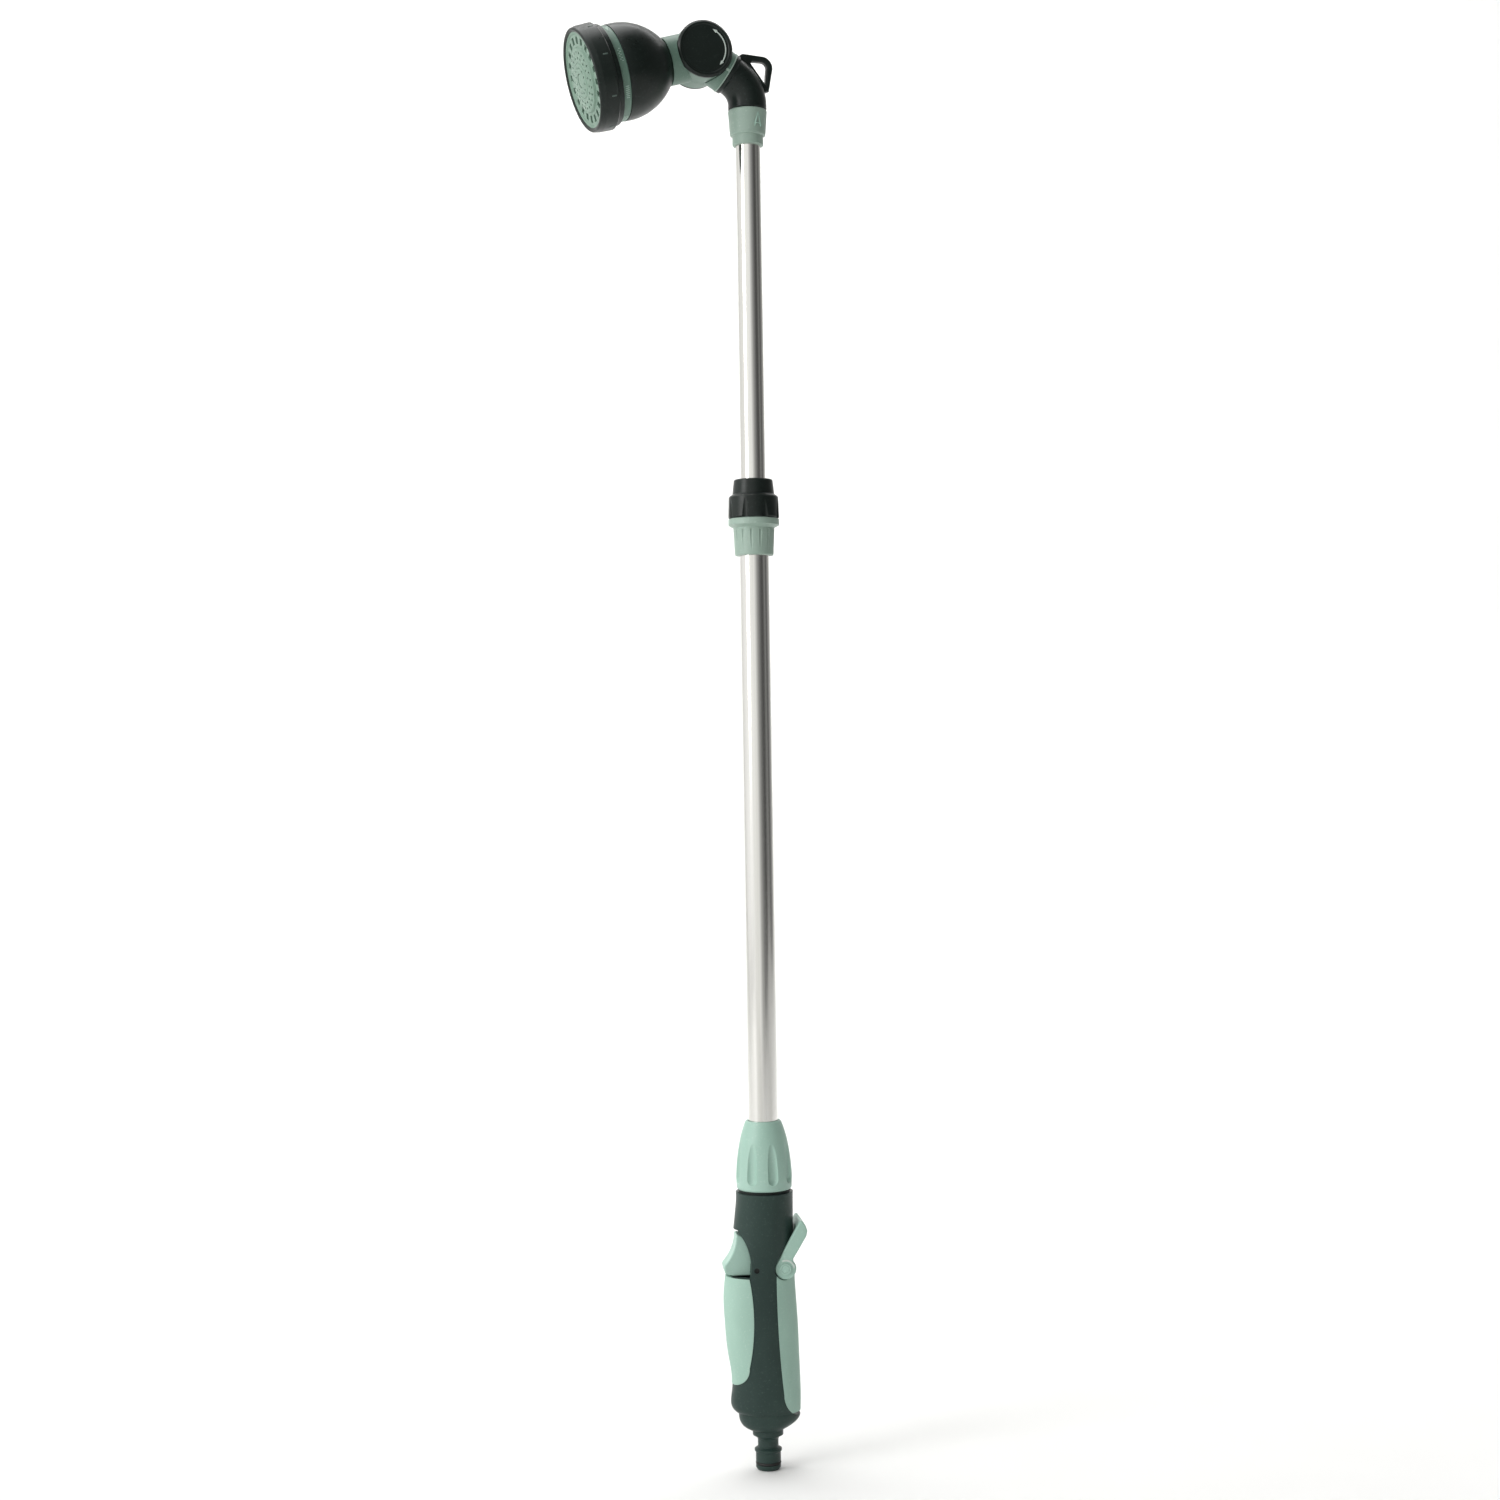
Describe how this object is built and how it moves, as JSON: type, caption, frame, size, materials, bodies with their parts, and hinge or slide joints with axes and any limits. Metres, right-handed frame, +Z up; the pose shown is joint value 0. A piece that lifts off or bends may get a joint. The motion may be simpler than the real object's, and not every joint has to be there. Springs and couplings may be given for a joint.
{
  "type": "telescopic watering wand",
  "caption": "Telescopic garden watering wand with a tilting, turning spray head, twist-lock tube, trigger handle with thumb flow lever and a snap-in hose connector.",
  "frame": {"origin": "centre of the hose connector's end face", "axes": "+Z up the wand along its tubes, -X the way the spray head points, Y across the handle"},
  "size_m": [0.1428, 0.0725, 0.9203],
  "materials": {
    "dark_plastic": "satin moulded",
    "sage_plastic": "satin moulded",
    "sage_grip": "soft matte",
    "aluminium_tube": "satin anodised",
    "inner_plastic": "as moulded",
    "black_rubber": "matte",
    "plain_steel": "plain",
    "spindle_brass": "plain"
  },
  "bodies": {
    "handle": {"hose_connector": "dark_plastic", "connector_o_ring": "black_rubber", "connector_gasket": "black_rubber", "valve_body": "inner_plastic", "stem_packing": "black_rubber", "handle_shell_left": "dark_plastic", "handle_shell_right": "dark_plastic", "front_grip": "sage_grip", "rear_grip": "sage_grip", "shell_screws": "plain_steel", "trigger_pin": "plain_steel", "union_ferrule": "inner_plastic", "union_o_ring": "black_rubber", "lower_tube": "aluminium_tube", "collar_sleeve": "sage_plastic", "clamp_collet": "inner_plastic", "valve_spring": "plain_steel"},
    "trigger_lever": {"trigger": "sage_plastic"},
    "poppet": {"valve_stem": "inner_plastic", "poppet_washer": "black_rubber"},
    "thumb_lever": {"flow_lever": "sage_plastic", "flow_spindle": "spindle_brass", "spindle_o_rings": "black_rubber"},
    "union": {"union_nut": "sage_plastic"},
    "twist_nut": {"lock_nut": "dark_plastic"},
    "mast": {"upper_tube": "aluminium_tube", "piston_guide": "inner_plastic", "piston_o_rings": "black_rubber", "tube_collar": "sage_plastic"},
    "outlet_elbow": {"elbow": "dark_plastic", "elbow_knuckle": "sage_plastic", "knuckle_o_ring": "black_rubber", "pivot_cap_rear": "dark_plastic", "pivot_bolt": "plain_steel", "pivot_nut": "plain_steel", "swivel_o_ring": "black_rubber"},
    "spray_head": {"head_neck": "sage_plastic", "pivot_cap_front": "dark_plastic", "bell_housing": "dark_plastic", "pattern_ring": "sage_plastic", "face_gasket": "black_rubber", "port_disc": "inner_plastic", "detent_ball": "plain_steel", "detent_spring": "plain_steel"},
    "selector": {"selector_rim": "dark_plastic", "face_plate": "sage_plastic", "outlet_insert": "sage_plastic", "centre_screw": "plain_steel"}
  },
  "joints": [
    {"name": "trigger_pull", "type": "hinge", "parent": "handle", "child": "trigger_lever", "pos_m": [-0.0072, 0, 0.13], "axis": [0, 1, 0], "range_deg": [0, 12], "stiffness_Nm_per_rad": 0.6, "springref_deg": -8.59},
    {"name": "stem_push", "type": "slide", "parent": "handle", "child": "poppet", "axis": [0, 0, 1], "range_m": [-0.0016, 0], "deforming": ["valve_spring"]},
    {"name": "flow_lever_turn", "type": "hinge", "parent": "handle", "child": "thumb_lever", "pos_m": [0.0115, 0, 0.13], "axis": [0, 1, 0], "range_deg": [0, 80]},
    {"name": "union_nut_turn", "type": "hinge", "parent": "handle", "child": "union", "pos_m": [0, 0, 0.2], "axis": [0, 0, 1], "range_deg": [0, 90]},
    {"name": "lock_nut_turn", "type": "hinge", "parent": "handle", "child": "twist_nut", "pos_m": [0, 0, 0.62], "axis": [0, 0, 1], "range_deg": [0, 90]},
    {"name": "telescope", "type": "slide", "parent": "handle", "child": "mast", "axis": [0, 0, 1], "range_m": [-0.205, 0.075]},
    {"name": "head_swivel", "type": "hinge", "parent": "mast", "child": "outlet_elbow", "pos_m": [0, 0, 0.866], "axis": [0, 0, 1], "continuous": true},
    {"name": "head_tilt", "type": "hinge", "parent": "outlet_elbow", "child": "spray_head", "pos_m": [-0.03115, -0.00662, 0.90217], "axis": [-0.2079, 0.9781, 0], "range_deg": [-26, 100]},
    {"name": "spray_select", "type": "hinge", "parent": "spray_head", "child": "selector", "pos_m": [-0.03115, -0.00662, 0.90217], "axis": [-0.9403, -0.1999, -0.2756], "continuous": true}
  ],
  "couplings": [
    {"joint": "stem_push", "follows": "trigger_pull", "m_per_rad": -0.0072}
  ]
}
